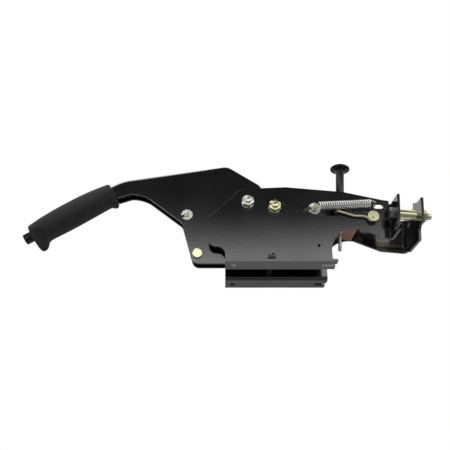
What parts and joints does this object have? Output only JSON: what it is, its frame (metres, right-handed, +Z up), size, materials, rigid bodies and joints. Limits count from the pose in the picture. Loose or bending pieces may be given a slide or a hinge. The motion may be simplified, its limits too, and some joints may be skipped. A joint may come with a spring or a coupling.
{
  "type": "parking brake lever",
  "caption": "Hand parking brake lever with push-button grip, black pressed bracket, ratchet, pull carriage with return spring and a push plunger.",
  "frame": {"origin": "midway between the two round foot holes, on the mounting face under the foot flanges", "axes": "+X from the grip towards the cable end, along the foot; +Y across the bracket towards the plate with the long end flange; +Z up from the mounting face"},
  "size_m": [0.491, 0.098, 0.1443],
  "materials": {
    "black_paint": "gloss",
    "lever_paint": "gloss",
    "grip_plastic": "matte",
    "knob_plastic": "satin",
    "yellow_zinc": "satin",
    "white_zinc": "satin",
    "plain_steel": "satin",
    "spring_steel": "satin",
    "brown_block": "satin"
  },
  "bodies": {
    "bracket": {"near_side_plate": "black_paint", "far_side_plate": "black_paint", "ratchet_sector": "plain_steel", "pivot_sleeve": "plain_steel", "thrust_spacers": "white_zinc", "pivot_bolt": "white_zinc", "pivot_nut": "white_zinc", "sector_bolt": "yellow_zinc", "sector_nut": "yellow_zinc", "sector_spacers": "white_zinc", "lower_tie": "black_paint", "draw_bolt": "white_zinc", "spacer_tube": "yellow_zinc", "draw_nut": "yellow_zinc", "top_bridge": "black_paint", "guide_block": "brown_block", "arm_pin": "yellow_zinc", "return_spring": "spring_steel"},
    "lever": {"lever_arm": "lever_paint", "grip": "grip_plastic", "pull_pin": "yellow_zinc", "pull_pin_ring": "white_zinc", "pawl_pin": "yellow_zinc", "pawl_pin_rings": "white_zinc", "pawl_spring": "spring_steel"},
    "pawl_body": {"pawl": "plain_steel"},
    "button": {"release_button": "knob_plastic", "release_rod": "plain_steel"},
    "link": {"pull_link": "plain_steel"},
    "carriage": {"cross_pin": "yellow_zinc", "pull_yoke": "plain_steel", "cross_pin_rings": "white_zinc"},
    "plunger": {"plunger_knob": "knob_plastic", "plunger_rod": "plain_steel", "plunger_collar": "plain_steel"},
    "arm": {"return_arm": "yellow_zinc"}
  },
  "joints": [
    {"name": "lever_pivot", "type": "hinge", "parent": "bracket", "child": "lever", "pos_m": [0.0182, 0, 0.086], "axis": [0, 1, 0], "range_deg": [0, 36]},
    {"name": "button_slide", "type": "slide", "parent": "lever", "child": "button", "axis": [0.8572, 0, 0.515], "range_m": [0, 0.005], "stiffness_N_per_m": 600},
    {"name": "pawl_pivot", "type": "hinge", "parent": "lever", "child": "pawl_body", "pos_m": [-0.0566, 0, 0.0754], "axis": [0, 1, 0], "range_deg": [0, 9.01]},
    {"name": "link_pivot", "type": "hinge", "parent": "lever", "child": "link", "pos_m": [-0.0426, 0, 0.0245], "axis": [0, 1, 0], "range_deg": [-18.2, 0]},
    {"name": "carriage_slide", "type": "slide", "parent": "bracket", "child": "carriage", "axis": [0.9954, 0, -0.0958], "range_m": [-0.0151, 0], "deforming": ["return_spring"]},
    {"name": "plunger_slide", "type": "slide", "parent": "bracket", "child": "plunger", "axis": [0.0854, 0, 0.9963], "range_m": [-0.0025, 0], "stiffness_N_per_m": 600},
    {"name": "arm_pivot", "type": "hinge", "parent": "bracket", "child": "arm", "pos_m": [0.1678, 0, 0.0654], "axis": [0, 1, 0], "range_deg": [-3.5, 0]}
  ],
  "couplings": [
    {"joint": "pawl_pivot", "follows": "button_slide", "rad_per_m": 31.416},
    {"joint": "link_pivot", "follows": "lever_pivot", "ratio": -0.50415},
    {"joint": "carriage_slide", "follows": "lever_pivot", "m_per_rad": -0.023926},
    {"joint": "arm_pivot", "follows": "plunger_slide", "rad_per_m": 24}
  ]
}
